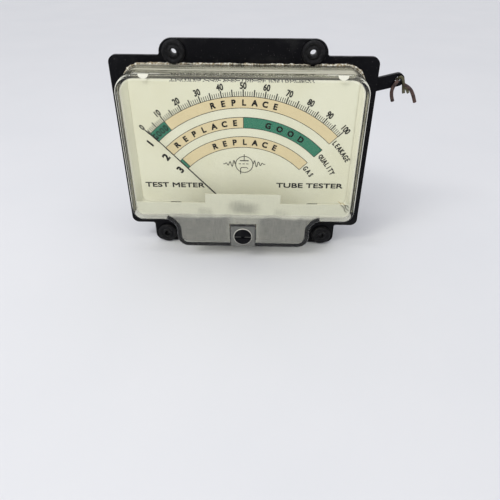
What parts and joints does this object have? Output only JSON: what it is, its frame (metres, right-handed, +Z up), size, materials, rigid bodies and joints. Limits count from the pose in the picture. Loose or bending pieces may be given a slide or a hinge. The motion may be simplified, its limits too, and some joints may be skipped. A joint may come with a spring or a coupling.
{
  "type": "tube tester meter",
  "caption": "Moving-coil panel meter of a tube tester: clear shouldered cover, printed cream dial, pointer, zero screw, black mounting frame with rubber grommets, rear case and terminal arm.",
  "frame": {"origin": "centre of the rear case's flat underside, on the surface that the meter stands on", "axes": "+Z up along the dial's middle line, -Y out of the dial towards the reader, +X to the reader's right"},
  "size_m": [0.1829, 0.0813, 0.1369],
  "materials": {
    "black_moulding": "satin black moulded phenolic with fine dust and rubbed edges",
    "rubber_black": "matte black rubber, slightly dusty",
    "clear_cover": "clear polished plastic, faintly yellowed, with fine scratches",
    "cement": "old brown cement, crumbly",
    "frosted": "frosted clear plastic over a dark movement",
    "dial_paint": "cream printed enamel on metal",
    "pointer_paint": "matte black lacquer",
    "brass": "turned brass, lightly tarnished",
    "steel": "machined steel",
    "iron": "dark magnet iron with a cast skin",
    "aluminium": "plain rolled aluminium",
    "copper": "enamelled copper winding",
    "phenolic_brown": "brown phenolic bushing",
    "lead_insulation": "old brown wire insulation",
    "tinned_strands": "tarnished tinned copper strands"
  },
  "bodies": {
    "frame": {"arm_screws": "steel", "bridge_screws": "steel", "case_screws": "steel", "core": "iron", "core_bridge": "brass", "core_screws": "steel", "cover_cement": "cement", "dial_plate": "dial_paint", "dial_screws": "dial_paint", "dial_spacers": "brass", "front_bridge": "brass", "front_bridge_posts": "brass", "front_cover": "clear_cover", "front_jewel_nut": "brass", "front_jewel_screw": "brass", "frosted_mask": "frosted", "grommet_lower_left": "rubber_black", "grommet_lower_right": "rubber_black", "grommet_upper_left": "rubber_black", "grommet_upper_right": "rubber_black", "lead_left": "lead_insulation", "lead_right": "lead_insulation", "lead_strands": "tinned_strands", "magnet": "iron", "mounting_frame": "black_moulding", "movement_plate": "aluminium", "movement_screws": "steel", "pointer_stops": "steel", "pole_piece_left": "iron", "pole_piece_right": "iron", "pole_screws": "steel", "rear_bridge": "brass", "rear_bridge_posts": "brass", "rear_case": "black_moulding", "rear_hairspring": "brass", "rear_jewel_nut": "brass", "rear_jewel_screw": "brass", "rear_spring_stake": "brass", "terminal_arm": "black_moulding", "terminal_bushings": "phenolic_brown", "terminal_lugs": "brass", "terminal_nuts": "brass", "terminal_studs": "brass"},
    "movement": {"pointer": "pointer_paint", "balance_weights": "brass", "coil_former": "aluminium", "moving_coil": "copper", "front_staff": "steel", "rear_staff": "steel"},
    "zero_adjuster": {"zero_screw": "black_moulding", "zero_crank": "black_moulding"},
    "regulator": {"regulator_arm": "brass", "front_hairspring": "brass"}
  },
  "joints": [
    {"name": "pointer_swing", "type": "hinge", "parent": "frame", "child": "movement", "pos_m": [0, -0.0255, 0.0225], "axis": [0, 1, 0], "range_deg": [-4, 90.6], "stiffness_Nm_per_rad": 0.000013, "deforming": ["front_hairspring", "rear_hairspring"]},
    {"name": "zero_screw_turn", "type": "hinge", "parent": "frame", "child": "zero_adjuster", "pos_m": [0, -0.0455, 0.019], "axis": [0, 1, 0], "range_deg": [-30, 30]},
    {"name": "regulator_turn", "type": "hinge", "parent": "frame", "child": "regulator", "pos_m": [0, -0.0354, 0.0225], "axis": [0, 1, 0], "range_deg": [-15.5, 15.5]}
  ],
  "couplings": [
    {"joint": "regulator_turn", "follows": "zero_screw_turn", "ratio": 0.5}
  ]
}
